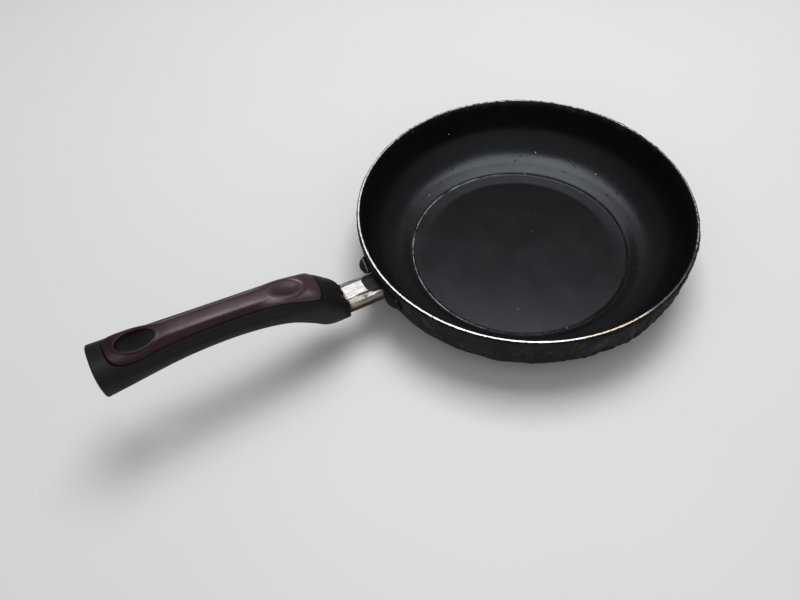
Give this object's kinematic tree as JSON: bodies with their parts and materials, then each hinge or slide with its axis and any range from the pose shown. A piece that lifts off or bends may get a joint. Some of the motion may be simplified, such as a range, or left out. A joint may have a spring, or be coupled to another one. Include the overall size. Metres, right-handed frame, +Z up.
{
  "type": "burnt frying pan",
  "caption": "Used frying pan with a bare rim, a burnt crust round its outer wall, a steel ferrule and an arched grip with a soft inlay and a hanging hole.",
  "frame": {"origin": "centre of the flat base, on the surface that the pan stands on", "axes": "+Z up out of the pan's mouth, -X along the grip away from the pan"},
  "size_m": [0.4265, 0.2449, 0.0862],
  "materials": {
    "coated_aluminium": "satin black non-stick coating, bare metal at the rim",
    "carbon_crust": "rough burnt-on carbon",
    "cast_bracket": "dark, heat-stained casting",
    "ferrule_steel": "bright folded sheet, stained and rusty at its edges",
    "phenolic_grip": "satin black moulding, burnt at the front",
    "soft_inlay": "dull maroon, worn satin",
    "plated_steel": "dull zinc plating"
  },
  "bodies": {
    "root": {"pan_body": "coated_aluminium", "burnt_crust": "carbon_crust", "handle_bracket": "cast_bracket", "ferrule": "ferrule_steel", "grip_body": "phenolic_grip", "grip_inlay": "soft_inlay", "clamp_screw": "plated_steel", "spring_washer": "plated_steel"}
  },
  "joints": []
}
